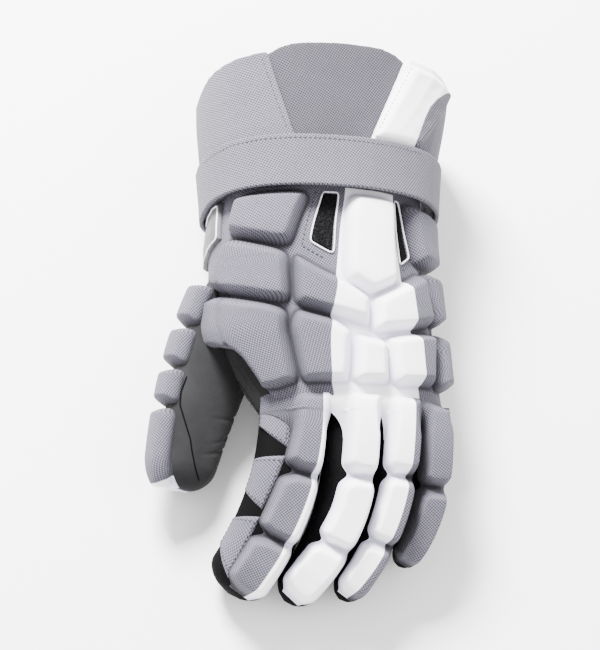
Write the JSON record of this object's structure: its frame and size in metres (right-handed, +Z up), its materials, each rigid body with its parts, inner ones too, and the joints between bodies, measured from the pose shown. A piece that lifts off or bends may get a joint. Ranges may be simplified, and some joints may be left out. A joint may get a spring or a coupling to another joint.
{
  "type": "lacrosse glove",
  "caption": "Left-hand lacrosse glove with segmented foam pads on the back, fingers and thumb, vent windows, dark palm and a strapped split cuff.",
  "frame": {"origin": "on the flat patch under the heel of the palm that the glove rests on", "axes": "+Z up through the back of the hand, +Y along the glove towards the cuff, fingers to -Y, thumb on the -X side"},
  "size_m": [0.1715, 0.3051, 0.1013],
  "materials": {
    "grey_weave": "coarse woven nylon, matte",
    "white_weave": "fine woven coated fabric, soft sheen",
    "black_stretch": "black stretch knit, matte",
    "black_mesh": "black open mesh",
    "grey_suede": "dark synthetic suede",
    "grey_gloss": "smooth coated fabric"
  },
  "bodies": {
    "root": {"thumb_back_pad_1": "grey_weave", "thumb_back_pad_2": "grey_weave", "thumb_back_pad_3": "grey_weave", "index_base_pad_1": "grey_weave", "index_base_pad_2": "grey_weave", "centre_pad": "white_weave", "knuckle_pad_1": "white_weave", "knuckle_pad_2": "white_weave", "knuckle_pad_3": "white_weave", "knuckle_pad_4": "white_weave", "knuckle_pad_5": "white_weave", "ring_side_pad_1": "grey_weave", "ring_side_pad_2": "grey_weave", "little_side_pad_1": "grey_weave", "little_side_pad_2": "grey_weave", "little_side_pad_3": "grey_weave", "vent_mesh_thumb_side": "black_mesh", "vent_mesh_little_side": "black_mesh", "cuff_side_flap": "grey_gloss", "index_stall": "black_stretch", "index_pad_1": "grey_weave", "index_pad_2": "grey_weave", "index_pad_3": "grey_weave", "middle_stall": "black_stretch", "middle_pad_1": "white_weave", "middle_pad_2": "white_weave", "middle_pad_3": "white_weave", "ring_stall": "black_stretch", "ring_pad_1": "white_weave", "ring_pad_2": "white_weave", "ring_pad_3": "white_weave", "little_stall": "black_stretch", "little_pad_1": "grey_weave", "little_pad_2": "grey_weave", "index_tab_1": "grey_weave", "index_tab_2": "grey_weave", "index_tab_3": "grey_weave", "thumb_stall": "grey_suede", "back_liner": "grey_weave", "palm_panel": "grey_suede", "thumb_pad_1": "grey_weave", "thumb_pad_2": "grey_weave", "thumb_pad_3": "grey_weave", "thumb_pad_4": "grey_weave", "thumb_tip_cap": "white_weave", "cuff_back": "grey_weave", "cuff_thumb_wing": "grey_weave", "cuff_little_wing": "grey_weave", "cuff_white_panel": "white_weave", "wrist_strap": "grey_weave"}
  },
  "joints": []
}
